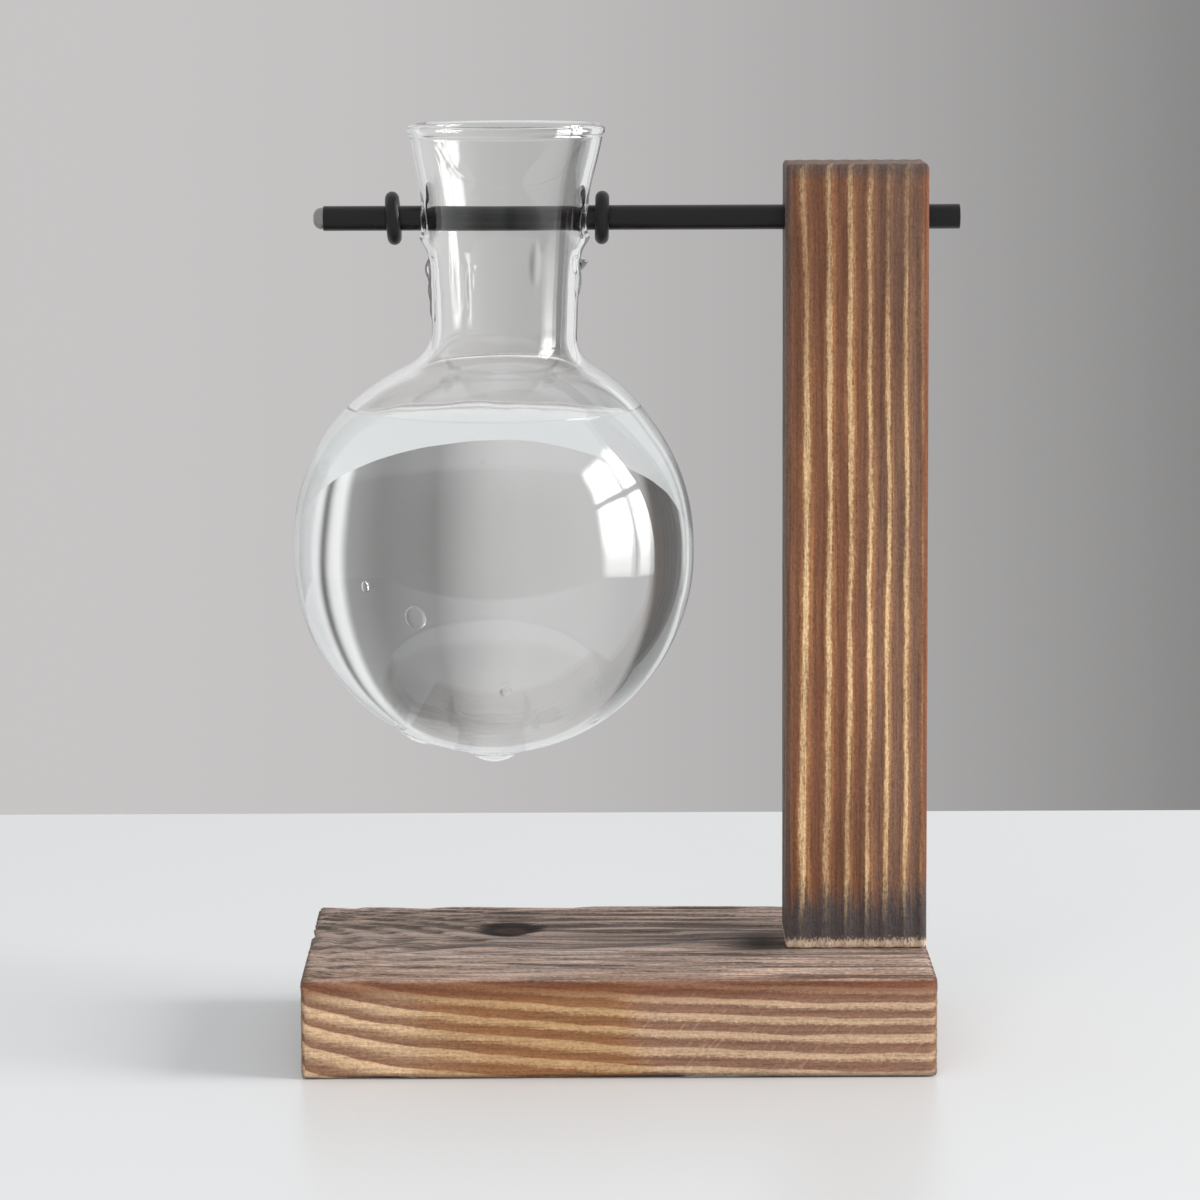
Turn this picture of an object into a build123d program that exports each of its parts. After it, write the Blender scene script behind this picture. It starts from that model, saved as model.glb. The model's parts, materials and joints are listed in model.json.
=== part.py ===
from build123d import *
import math
import os

# Propagation vase: a blown-glass globe hangs by its neck on a rod that goes through a wooden post,
# and the post stands on a wooden base board. Rubber rings on the rod keep the globe in place.
# Millimetres, +Z up. The origin is the middle of the base board's underside. +X runs along the board
# towards the post, and +Y runs away from the front.

# Base board
BASE_LENGTH = 125.0
BASE_DEPTH = 80.0
BASE_THICKNESS = 20.0
BASE_ROUND = 1.0

# Post, which stands near the right-hand end of the board, in the middle of its depth
POST_WIDTH = 28.5
POST_DEPTH = 20.0
POST_HEIGHT = 157.5
POST_ROUND = 0.9
POST_INSET = 0.4

# Rod: a steel core with a domed left end, in a black sleeve
CORE_DIAMETER = 4.4
CORE_LENGTH = 129.0
BARE_TIP = 2.0
TIP_ROUND = 1.7
END_CHAMFER = 0.3
SLEEVE_WALL = 0.28
SLEEVE_FIT = 0.02
SLEEVE_CHAMFER = 0.12
ROD_BELOW_TOP = 11.0
ROD_OVERHANG = 6.6
ROD_FIT = 0.05

# Rubber rings
RING_CORD = 2.8
RING_FIT = 0.05
RING_GAP_LEFT = 1.7
RING_GAP_RIGHT = 1.1

# Glass vase, measured on the outside of its wall. It is blown by hand, and its neck leans a little
GLOBE_RADIUS = 40.2
GLOBE_BAND = 2.4
NECK_RADIUS = 14.6
FLARE_HEIGHT = 41.8
MOUTH_RADIUS = 19.6
VASE_WALL = 1.8
VASE_LEAN = 1.5
VASE_REACH = 56.8
SHOULDER_ROUND = 5.0
LIP_BEAD = 2.4
HOLE_TO_LIP = 18.0
HOLE_PLAY = 1.0
HANG_FIT = 0.05
COLLAR_WALL = 1.6
COLLAR_PROUD = 1.0
COLLAR_ROUND = 0.35

# Countersunk wood screws that hold the post from below
SCREW_LENGTH = 46.0
SCREW_SHANK = 4.0
SCREW_CORE = 2.8
SCREW_HEAD = 8.0
SCREW_HEAD_ANGLE = 90.0
SCREW_RIM = 0.5
SCREW_POINT = 5.0
SCREW_SPACING = 14.0
SCREW_SINK = 1.0
SCREW_FIT = 0.05
THREAD_PITCH = 1.8
PILOT_SPARE = 1.5
RECESS_LENGTH = 4.6
RECESS_WIDTH = 1.1
RECESS_DEPTH = 1.8
RECESS_TAPER = 12.0

# How far a cut runs past what it cuts
OVERRUN = 1.0

# Places of the post and the rod
post_right = BASE_LENGTH / 2 - POST_INSET
post_left = post_right - POST_WIDTH
post_x = (post_left + post_right) / 2
post_top = BASE_THICKNESS + POST_HEIGHT
rod_z = post_top - ROD_BELOW_TOP
rod_right = post_right + ROD_OVERHANG
rod_left = rod_right - CORE_LENGTH
sleeve_left = rod_left + BARE_TIP
sleeve_bore = CORE_DIAMETER + 2 * SLEEVE_FIT
rod_diameter = sleeve_bore + 2 * SLEEVE_WALL

# The vase hangs with the top of its holes on the rod. Its own plane has the holes at zero height
vase_x = post_left - VASE_REACH
hole_radius = (rod_diameter + HOLE_PLAY) / 2
hole_z = rod_z + rod_diameter / 2 + HANG_FIT - hole_radius
lean = math.radians(VASE_LEAN)
vase_plane = Plane((vase_x, 0, hole_z), x_dir=(0, -1, 0), z_dir=(-math.cos(lean), 0, math.sin(lean)))
vase_axis = Axis(vase_plane.origin, vase_plane.y_dir)

# Heights on the vase's axis. The shoulder's arc touches both the globe and the foot of the neck
flare_foot = HOLE_TO_LIP - FLARE_HEIGHT
shoulder_rise = math.sqrt((GLOBE_RADIUS + SHOULDER_ROUND) ** 2 - (NECK_RADIUS + SHOULDER_ROUND) ** 2)
upper_globe = flare_foot - shoulder_rise
lower_globe = upper_globe - GLOBE_BAND
shoulder_share = GLOBE_RADIUS / (GLOBE_RADIUS + SHOULDER_ROUND)
shoulder_start = (
    (NECK_RADIUS + SHOULDER_ROUND) * shoulder_share,
    upper_globe + shoulder_rise * shoulder_share,
)

# The neck's outline is one arc, upright at its foot, so its radius is known at any height
flare_run = MOUTH_RADIUS - NECK_RADIUS
flare_radius = (FLARE_HEIGHT**2 + flare_run**2) / (2 * flare_run)


def neck_radius(height):
    """Outer radius of the neck at a height above the holes."""
    return NECK_RADIUS + flare_radius - math.sqrt(flare_radius**2 - (height - flare_foot) ** 2)


# The collars start inside the neck's wall and stand proud of it all round, also at their tops
collar_radius = hole_radius + COLLAR_WALL
collar_root = neck_radius(0) - VASE_WALL / 2
collar_reach = neck_radius(collar_radius) + collar_radius * math.tan(lean) + COLLAR_PROUD

# Places of the screws, and heights along them from the underside of the board
screw_cone = (SCREW_HEAD - SCREW_SHANK) / 2 / math.tan(math.radians(SCREW_HEAD_ANGLE / 2))
screw_shank_z = SCREW_SINK + SCREW_RIM + screw_cone
screw_tip_z = SCREW_SINK + SCREW_LENGTH
sink_spread = (SCREW_SINK + SCREW_RIM) * math.tan(math.radians(SCREW_HEAD_ANGLE / 2))
screw_places = {
    "post_screw_inner": post_x - SCREW_SPACING / 2,
    "post_screw_outer": post_x + SCREW_SPACING / 2,
}

os.makedirs("parts", exist_ok=True)


def screw_outline():
    """Points up one side of a screw from its head to its point, with its thread drawn as rings."""
    points = [
        (0, SCREW_SINK),
        (SCREW_HEAD / 2, SCREW_SINK),
        (SCREW_HEAD / 2, SCREW_SINK + SCREW_RIM),
        (SCREW_SHANK / 2, screw_shank_z),
        (SCREW_SHANK / 2, BASE_THICKNESS),
    ]
    thread_end = screw_tip_z - SCREW_POINT
    turns = int((thread_end - BASE_THICKNESS) / THREAD_PITCH)
    for turn in range(turns):
        crest = BASE_THICKNESS + (turn + 1) * THREAD_PITCH
        points.append((SCREW_CORE / 2, crest - THREAD_PITCH / 2))
        points.append((SCREW_SHANK / 2, crest))
    points.append((SCREW_CORE / 2, thread_end + THREAD_PITCH / 2))
    points.append((0, screw_tip_z))
    return points


# Base board, with a countersunk hole under the post for each screw
with BuildPart() as base_board:
    with BuildSketch():
        Rectangle(BASE_LENGTH, BASE_DEPTH)
    extrude(amount=BASE_THICKNESS)
    fillet(base_board.edges(), radius=BASE_ROUND)
    underside = Plane((0, 0, 0), x_dir=(1, 0, 0), z_dir=(0, 0, -1))
    with Locations(underside):
        with Locations(*[(x, 0) for x in screw_places.values()]):
            CounterSinkHole(
                radius=SCREW_SHANK / 2 + SCREW_FIT,
                counter_sink_radius=SCREW_HEAD / 2 + sink_spread + SCREW_FIT,
                depth=BASE_THICKNESS,
                counter_sink_angle=SCREW_HEAD_ANGLE,
            )
base_board.part.label = "base_board"
export_step(base_board.part, "parts/base_board.step")


# Post, bored across for the rod and piloted from below for the screws, which cut their own thread
with BuildPart() as upright_post:
    with BuildSketch(Plane.XY.offset(BASE_THICKNESS)):
        with Locations((post_x, 0)):
            Rectangle(POST_WIDTH, POST_DEPTH)
    extrude(amount=POST_HEIGHT)
    foot_edges = upright_post.edges().group_by(Axis.Z)[0]
    fillet(upright_post.edges() - foot_edges, radius=POST_ROUND)
    with BuildSketch(Plane.YZ.offset(post_left - OVERRUN)):
        with Locations((0, rod_z)):
            Circle(rod_diameter / 2 + ROD_FIT)
    extrude(amount=POST_WIDTH + 2 * OVERRUN, mode=Mode.SUBTRACT)
    with BuildSketch(Plane.XY.offset(BASE_THICKNESS)):
        with Locations(*[(x, 0) for x in screw_places.values()]):
            Circle(SCREW_CORE / 2)
    extrude(amount=screw_tip_z + PILOT_SPARE - BASE_THICKNESS, mode=Mode.SUBTRACT)
upright_post.part.label = "upright_post"
export_step(upright_post.part, "parts/upright_post.step")


# Screws: countersunk head with a cross recess, plain shank in the board, thread in the post
for screw_name, screw_x in screw_places.items():
    with BuildPart() as post_screw:
        with BuildSketch(Plane.XZ.shift_origin((screw_x, 0, 0))):
            with BuildLine():
                Polyline(*screw_outline(), close=True)
            make_face()
        revolve(axis=Axis((screw_x, 0, 0), (0, 0, 1)))
        with BuildSketch(Plane.XY.offset(SCREW_SINK)):
            with Locations((screw_x, 0)):
                Rectangle(RECESS_LENGTH, RECESS_WIDTH)
                Rectangle(RECESS_WIDTH, RECESS_LENGTH)
        extrude(amount=RECESS_DEPTH, taper=RECESS_TAPER, mode=Mode.SUBTRACT)
    post_screw.part.label = screw_name
    export_step(post_screw.part, f"parts/{screw_name}.step")


# Rod core: a steel bar whose bare left end is domed
with BuildPart() as rod_core:
    with BuildSketch(Plane.YZ.offset(rod_left)):
        with Locations((0, rod_z)):
            Circle(CORE_DIAMETER / 2)
    extrude(amount=CORE_LENGTH)
    core_ends = rod_core.edges().filter_by(GeomType.CIRCLE).sort_by(Axis.X)
    fillet(core_ends[0], radius=TIP_ROUND)
    chamfer(core_ends[-1], length=END_CHAMFER)
rod_core.part.label = "rod_core"
export_step(rod_core.part, "parts/rod_core.step")


# Rod sleeve: a thin tube over the core, cut square just short of the dome
with BuildPart() as rod_sleeve:
    with BuildSketch(Plane.YZ.offset(sleeve_left)):
        with Locations((0, rod_z)):
            Circle(rod_diameter / 2)
            Circle(sleeve_bore / 2, mode=Mode.SUBTRACT)
    extrude(amount=rod_right - sleeve_left)
    outer_rims = rod_sleeve.edges().filter_by(GeomType.CIRCLE).group_by(SortBy.RADIUS)[-1]
    chamfer(outer_rims, length=SLEEVE_CHAMFER)
rod_sleeve.part.label = "rod_sleeve"
export_step(rod_sleeve.part, "parts/rod_sleeve.step")


# Rubber rings, one on each side of the neck
for ring_name, ring_x in (
    ("ring_left", vase_x - collar_reach - RING_GAP_LEFT - RING_CORD / 2),
    ("ring_right", vase_x + collar_reach + RING_GAP_RIGHT + RING_CORD / 2),
):
    with BuildPart() as ring:
        with BuildSketch(Plane.XZ):
            with Locations((ring_x, rod_z + rod_diameter / 2 + RING_FIT + RING_CORD / 2)):
                Circle(RING_CORD / 2)
        revolve(axis=Axis((0, 0, rod_z), (1, 0, 0)))
    ring.part.label = ring_name
    export_step(ring.part, f"parts/{ring_name}.step")


# Glass vase: one wall with a beaded lip, turned about its axis, and a collared hole on each side
with BuildPart() as vase:
    with BuildSketch(vase_plane):
        with BuildLine():
            bowl = CenterArc((0, lower_globe), GLOBE_RADIUS, -90, 90)
            band = Line(bowl @ 1, (GLOBE_RADIUS, upper_globe))
            crown = TangentArc(band @ 1, shoulder_start, tangent=(0, 1))
            shoulder = TangentArc(crown @ 1, (NECK_RADIUS, flare_foot), tangent=crown % 1)
            flare = TangentArc(shoulder @ 1, (MOUTH_RADIUS, HOLE_TO_LIP), tangent=(0, 1))
            offset(amount=VASE_WALL, side=Side.LEFT)
        make_face()
        lip = flare @ 1 + (flare % 1).rotate(Axis.Z, 90) * VASE_WALL / 2
        with Locations(lip):
            Circle(LIP_BEAD / 2)
    revolve(axis=vase_axis)
    for side in (-1, 1):
        with BuildSketch(Plane.YZ.offset(vase_x + side * collar_root)):
            with Locations((0, hole_z)):
                Circle(collar_radius)
        extrude(amount=side * (collar_reach - collar_root))
        fillet(vase.edges(Select.NEW).filter_by(GeomType.LINE, reverse=True), radius=COLLAR_ROUND)
    collar_rims = vase.faces().filter_by(Axis.X).edges()
    fillet(collar_rims, radius=COLLAR_ROUND)
    with BuildSketch(Plane.YZ.offset(vase_x - collar_reach - OVERRUN)):
        with Locations((0, hole_z)):
            Circle(hole_radius)
    extrude(amount=2 * (collar_reach + OVERRUN), mode=Mode.SUBTRACT)
vase.part.label = "vase"
export_step(vase.part, "parts/vase.step")
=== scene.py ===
import json
import math
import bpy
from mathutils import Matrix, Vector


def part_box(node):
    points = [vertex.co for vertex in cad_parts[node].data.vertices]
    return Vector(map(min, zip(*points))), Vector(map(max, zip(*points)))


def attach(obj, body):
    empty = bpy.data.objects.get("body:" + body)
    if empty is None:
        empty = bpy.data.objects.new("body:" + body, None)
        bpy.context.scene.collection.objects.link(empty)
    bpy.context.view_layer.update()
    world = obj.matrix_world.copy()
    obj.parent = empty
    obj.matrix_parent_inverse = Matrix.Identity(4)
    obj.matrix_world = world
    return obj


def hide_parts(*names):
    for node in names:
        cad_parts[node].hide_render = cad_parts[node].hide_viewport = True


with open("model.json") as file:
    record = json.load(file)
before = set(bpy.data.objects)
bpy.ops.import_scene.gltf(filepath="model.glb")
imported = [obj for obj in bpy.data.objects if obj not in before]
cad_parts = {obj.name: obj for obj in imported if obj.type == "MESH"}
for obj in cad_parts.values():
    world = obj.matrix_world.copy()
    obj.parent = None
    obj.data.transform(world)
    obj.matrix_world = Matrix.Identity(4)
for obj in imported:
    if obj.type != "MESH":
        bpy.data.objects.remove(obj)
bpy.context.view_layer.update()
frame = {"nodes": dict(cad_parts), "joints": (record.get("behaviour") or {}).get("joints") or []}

from types import SimpleNamespace

import bpy
import numpy as np
from bpy.props import FloatProperty, FloatVectorProperty, PointerProperty
from mathutils import Quaternion, Vector

bl_info = {
    "name": "Propagation vase on a wooden stand",
    "version": (1, 0, 0),
    "blender": (4, 5, 0),
    "location": "View3D > Sidebar > Vase stand",
    "description": "A glass globe with water that hangs on a rod through a scorched wooden stand",
    "category": "Add Mesh",
}

MM = 0.001
TURN = 2 * math.pi
QUARTER = TURN / 4

# Places that come from the frame, in metres
base_low, base_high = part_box("base_board")
post_low, post_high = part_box("upright_post")
sleeve_low, sleeve_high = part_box("rod_sleeve")
screw_boxes = [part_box(name) for name in ("post_screw_inner", "post_screw_outer")]
rod_z = (sleeve_low.z + sleeve_high.z) / 2
rod_radius = (sleeve_high.z - sleeve_low.z) / 2
swing = next(joint for joint in frame["joints"] if joint["name"] == "vase_swing")
vase_x = swing["pos_m"][0]

# The boards' faces in millimetres, which the wood's patterns follow
BASE_TOP, BASE_END = base_high.z / MM, base_high.x / MM
POST_LEFT, POST_RIGHT = post_low.x / MM, post_high.x / MM
POST_FOOT, POST_HEAD = post_low.z / MM, post_high.z / MM

# Growth rings of the two boards, in millimetres in the row frame. Each board has its pith line, the
# radius at which one pale ring shows on its front, and the distance from ring to ring
BASE_PITH_Y, BASE_PITH_Z = 4.0, -26.0
BASE_RING_RADIUS, BASE_RING_PITCH = 56.16, 2.2
POST_PITH_X, POST_PITH_Y = 20.0, 14.0
POST_RING_RADIUS, POST_RING_PITCH = 29.53, 3.03

# How the base board's rings run: level at one X with a slope along the board, swept up by a height that
# fades over a length at the left end, and bent up beyond an X at the right end
RINGS_LEVEL_X, RINGS_SLOPE = 0.8, 0.045
LEFT_SWEEP, LEFT_SWEEP_FADE = 5.6, 18.0
RIGHT_BEND_X, RIGHT_BEND_LENGTH = 30.0, 32.0

# The dark knot in the base board's top: its middle and its half sizes along X and Y
KNOT_X, KNOT_Y = -22.0, 15.4
KNOT_HALF_X, KNOT_HALF_Y = 7.6, 9.0

# Bores: room round the rod, the screws' shank bore, how far a cutter runs past the wood, and its sides
ROD_FIT = 0.05 * MM
SHANK_BORE = 2.05 * MM
OVERRUN = 5 * MM
SCREW_BORE_STEPS, ROD_BORE_STEPS = 48, 64

# Depth of the finest relief in the wood's material
WOOD_BUMP = 0.16 * MM

# The rings' tilt in degrees, and the steps round their cord and round the ring
RING_TILTS = (("ring_left", 3.5), ("ring_right", -1.0))
CORD_STEPS, RING_STEPS = 28, 96

# How finely the glass is made: columns round it, and points along each stretch of its outline
COLUMNS = 192
BOTTOM_POINTS, TOP_POINTS, SHOULDER_POINTS, NECK_POINTS, LIP_POINTS, RIM_POINTS = 64, 32, 12, 26, 8, 18
WATER_COLUMNS, WATER_BOTTOM_POINTS = 128, 48
LIP_START = 0.7 * MM
RIM_START, RIM_END = math.radians(-35), math.radians(225)

# A square block of the wall round each hole is made anew: its half side in cells, and half its height
BLOCK_CELLS, BLOCK_HEIGHT = 16, 8 * MM

# A hole's edge is rounded by the curl, and the glass near it is drawn out over the reach
HOLE_CURL, DRAWN_REACH = 0.55 * MM, 2.3 * MM
WALL_ROWS, EDGE_ROWS, BORE_ROWS = 14, 5, 3

# Hand-blown faults: where the globe's sway begins above the neck's foot and how far it takes to be full,
# where the lip swells and over what height, and the radius below which the unevenness stops growing
SWAY_START, SWAY_SPAN = 2 * MM, 22 * MM
SWELL_HEIGHT, SWELL_REACH = 13 * MM, 6 * MM
WAVE_RADIUS = 8 * MM

# Small drops on the globe: the way round from the right in degrees, the angle below its widest place in
# degrees, then half width, half height and depth in millimetres
DROPS = (
    (-112, -12, 2.2, 2.3, 0.50), (-128, -4, 1.0, 1.1, 0.45), (-85, -36, 1.2, 1.4, 0.45),
    (-30, -54, 1.3, 1.3, 0.5), (70, -30, 1.4, 1.7, 0.5), (140, -48, 1.6, 1.6, 0.55),
)
DROP_SEGMENTS, DROP_RINGS = 40, 24

# Runs of water that lie smooth on the globe, listed in the same way, and on the neck, where a height in
# millimetres above the holes stands for the angle
GLOBE_RUNS = ((-90, -90, 6.1, 5.6, 2.0), (183, -67, 3.6, 4.6, 1.0))
NECK_RUNS = (
    (-4, -7.8, 2.2, 2.6, 1.6), (2, -12.4, 1.5, 3.0, 0.5), (186, -9.8, 2.1, 2.6, 0.9),
    (184, -14.0, 1.6, 2.8, 0.55), (182, -17.8, 1.3, 2.4, 0.35), (136, -13.6, 1.3, 7.0, 0.25),
    (122, -14.6, 1.2, 6.0, 0.20), (64, -9.6, 1.3, 5.0, 0.20),
)

# The table's half sizes, the far end of the strip behind it, and how far the opening under the base board
# lies inside the board's outline, in metres
TABLE_HALF_X, TABLE_HALF_Y, TABLE_FAR = 0.60, 0.282, 0.315
TABLE_INSET = 2 * MM

# The camera fitted to the photograph, with its roll in degrees
CAMERA_PLACE = (-6.65 * MM, -1098.2 * MM, 226.7 * MM)
CAMERA_AIM = (-3.35 * MM, 0.0, 89.6 * MM)
CAMERA_ROLL = -0.196
SENSOR = 36.0


class Field:
    """A number that varies over a surface: one node's output, which takes part in sums."""

    def __init__(self, tree, socket):
        self.tree = tree
        self.socket = socket

    def math(self, operation, *others):
        """A Math node fed by this field and by others."""
        node = add_node(self.tree, "ShaderNodeMath", operation=operation)
        for socket, value in zip(node.inputs, (self, *others)):
            feed(self.tree, socket, value)
        return Field(self.tree, node.outputs[0])

    def __add__(self, other):
        return self.math("ADD", other)

    def __sub__(self, other):
        return self.math("SUBTRACT", other)

    def __mul__(self, other):
        return self.math("MULTIPLY", other)

    def __truediv__(self, other):
        return self.math("DIVIDE", other)

    def __rsub__(self, other):
        return self * -1.0 + other

    __radd__ = __add__
    __rmul__ = __mul__

    def ramp(self, low, high):
        """0 below low, 1 above high, and a smooth rise between them. Low may be the larger one."""
        node = add_node(self.tree, "ShaderNodeMapRange", {
            "Value": self, "From Min": min(low, high), "From Max": max(low, high),
            "To Min": float(low > high), "To Max": float(low <= high),
        }, interpolation_type="SMOOTHSTEP")
        return Field(self.tree, node.outputs["Result"])

    def bell(self, middle, half_width):
        """1 where the field equals middle, falling to 0.37 at half_width from it and to 0 beyond."""
        away = (self - middle) / half_width
        return (away * away * -1.0).math("EXPONENT")


class Paint:
    """A colour, plain or from a node, that others are laid over."""

    def __init__(self, tree, colour):
        self.tree = tree
        self.colour = colour

    def over(self, share, other):
        """This colour, which gives way to the other as share goes from 0 to 1."""
        node = add_node(self.tree, "ShaderNodeMix", {0: share, 6: self, 7: other}, data_type="RGBA")
        return Paint(self.tree, node.outputs[2])

    def times(self, factor):
        """This colour times a field."""
        return Paint(self.tree, scaled(self.tree, self.colour, factor))


def feed(tree, socket, value):
    """Links a field, a paint or a node's output into a socket, or sets a plain value on it. Colours come
    without alpha."""
    if isinstance(value, Field):
        value = value.socket
    if isinstance(value, Paint):
        value = value.colour
    if isinstance(value, bpy.types.NodeSocket):
        tree.links.new(value, socket)
    elif socket.type == "RGBA":
        socket.default_value = (*value, 1.0)
    else:
        socket.default_value = value


def add_node(tree, kind, inputs=None, **settings):
    """Adds a node, sets its properties, and feeds its inputs, which are named or numbered."""
    node = tree.nodes.new(kind)
    for name, value in settings.items():
        setattr(node, name, value)
    for name, value in (inputs or {}).items():
        feed(tree, node.inputs[name], value)
    return node


def vector_math(tree, operation, *values):
    """A Vector Math node's output."""
    return add_node(tree, "ShaderNodeVectorMath", dict(enumerate(values)), operation=operation).outputs[0]


def scaled(tree, vector, factor):
    """A vector or a colour times a field."""
    return add_node(tree, "ShaderNodeVectorMath", {0: vector, "Scale": factor}, operation="SCALE").outputs[0]


def parts(tree, vector):
    """A vector's three parts as fields."""
    split = add_node(tree, "ShaderNodeSeparateXYZ", {0: vector})
    return [Field(tree, output) for output in split.outputs]


def place(tree):
    """A point's own coordinates in millimetres, in a material as in a geometry tree."""
    if tree.bl_idname == "GeometryNodeTree":
        source = add_node(tree, "GeometryNodeInputPosition").outputs["Position"]
    else:
        source = add_node(tree, "ShaderNodeTexCoord").outputs["Object"]
    return [part / MM for part in parts(tree, source)]


def noise(tree, spot, density, detail=2.0):
    """Smooth noise between about -1 and 1. Density is its features per unit of each of spot's parts."""
    spread = dict(enumerate(part * per_unit for part, per_unit in zip(spot, density)))
    vector = add_node(tree, "ShaderNodeCombineXYZ", spread).outputs[0]
    cloud = add_node(tree, "ShaderNodeTexNoise", {"Vector": vector, "Scale": 1.0, "Detail": detail})
    return Field(tree, cloud.outputs[0]) * 2.0 - 1.0


def new_material(name):
    """A material with its tree and its Principled node."""
    material = bpy.data.materials.new(name)
    material.use_nodes = True
    tree = material.node_tree
    return material, tree, tree.nodes["Principled BSDF"]


def bump(tree, shader, height, depth):
    """Feeds a height field into a shader's normal. Depth is the relief's depth in metres."""
    node = add_node(tree, "ShaderNodeBump", {"Height": height, "Distance": depth, "Strength": 1.0})
    feed(tree, shader.inputs["Normal"], node.outputs["Normal"])


def cover(tree, shader, colour, roughness, height, depth):
    """Feeds a shader's colour, its roughness and its fine relief."""
    feed(tree, shader.inputs["Base Color"], colour)
    feed(tree, shader.inputs["Roughness"], roughness)
    bump(tree, shader, height, depth)


def see_through(tree, shader, shares):
    """Mixes a shader with clear air by each share in turn, and makes that the surface."""
    air = add_node(tree, "ShaderNodeBsdfTransparent")
    for share in shares:
        shader = add_node(tree, "ShaderNodeMixShader", {0: share, 1: shader.outputs[0], 2: air.outputs[0]})
    feed(tree, tree.nodes["Material Output"].inputs["Surface"], shader.outputs[0])


def arc(middle, radius, start, end, count):
    """Count points on an arc, without its end. Angles are in radians."""
    angles = [start + (end - start) * k / count for k in range(count)]
    return [(middle[0] + radius * math.cos(a), middle[1] + radius * math.sin(a)) for a in angles]


def turned(outline, steps, closed=False):
    """Vertices and faces of (radius, height) points turned about Z, listed upwards on the outside."""
    vertices, rings, faces = [], [], []
    for radius, height in outline:
        spots = steps if radius > 0 else 1
        rings.append([len(vertices) + k for k in range(spots)])
        for k in range(spots):
            angle = TURN * k / steps
            vertices.append((radius * math.cos(angle), radius * math.sin(angle), height))
    pairs = list(zip(rings, rings[1:]))
    if closed:
        pairs.append((rings[-1], rings[0]))
    for low, high in pairs:
        for k in range(steps):
            corners = ((low, k), (low, k + 1), (high, k + 1), (high, k))
            faces.append(list(dict.fromkeys(ring[n % len(ring)] for ring, n in corners)))
    return vertices, faces


def along_x(vertices, z=0):
    """Vertices turned from the Z axis onto the X axis, then lifted by z."""
    return [(v[2], v[0], v[1] + z) for v in vertices]


def moved(vertices, x, y, z):
    """Vertices shifted by x, y and z."""
    return [(v[0] + x, v[1] + y, v[2] + z) for v in vertices]


def new_mesh(name, vertices, faces, material=None):
    """A smooth-shaded mesh."""
    mesh = bpy.data.meshes.new(name)
    mesh.from_pydata([tuple(map(float, v)) for v in vertices], [], faces)
    mesh.polygons.foreach_set("use_smooth", [True] * len(mesh.polygons))
    if material:
        mesh.materials.append(material)
    mesh.update()
    return mesh


def new_object(name, data):
    """An object at the origin, in the scene."""
    piece = bpy.data.objects.new(name, data)
    bpy.context.scene.collection.objects.link(piece)
    return piece


def new_tree(name, sockets):
    """An empty geometry tree with a geometry input and output, and the named inputs given."""
    tree = bpy.data.node_groups.new(name, "GeometryNodeTree")
    tree.interface.new_socket("Geometry", in_out="INPUT", socket_type="NodeSocketGeometry")
    for label, kind in sockets.items():
        tree.interface.new_socket(label, in_out="INPUT", socket_type=f"NodeSocket{kind}")
    tree.interface.new_socket("Geometry", in_out="OUTPUT", socket_type="NodeSocketGeometry")
    return tree, add_node(tree, "NodeGroupInput"), add_node(tree, "NodeGroupOutput")


def end_tree(tree, geometry, given, result):
    """Ends a geometry tree: what it made is one smooth mesh in the given material."""
    whole = add_node(tree, "GeometryNodeRealizeInstances", {"Geometry": geometry})
    smooth = add_node(tree, "GeometryNodeSetShadeSmooth", {"Geometry": whole.outputs[0]})
    painted = add_node(tree, "GeometryNodeSetMaterial", {
        "Geometry": smooth.outputs[0], "Material": given.outputs["Material"],
    })
    feed(tree, result.inputs["Geometry"], painted.outputs[0])
    return tree


def run_tree(piece, tree, values):
    """Puts a geometry tree on a piece with its inputs set by name, and keeps the result as a plain mesh."""
    modifier = piece.modifiers.new(tree.name, "NODES")
    modifier.node_group = tree
    for item in tree.interface.items_tree:
        if item.in_out == "INPUT" and item.name in values:
            modifier[item.identifier] = values[item.name]
    graph = bpy.context.evaluated_depsgraph_get()
    result = bpy.data.meshes.new_from_object(piece.evaluated_get(graph))
    piece.modifiers.clear()
    old = piece.data
    piece.data = result
    result.name = piece.name
    bpy.data.meshes.remove(old)


def colour_setting(name, description, default):
    """A colour that a user can change."""
    return FloatVectorProperty(name=name, description=description, subtype="COLOR", default=default)


def length_setting(name, description, default):
    """A length that a user can change. Its default is in millimetres."""
    return FloatProperty(name=name, description=description, unit="LENGTH", default=default * MM)


def number_setting(name, description, default):
    """A plain number that a user can change."""
    return FloatProperty(name=name, description=description, default=default)


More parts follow.
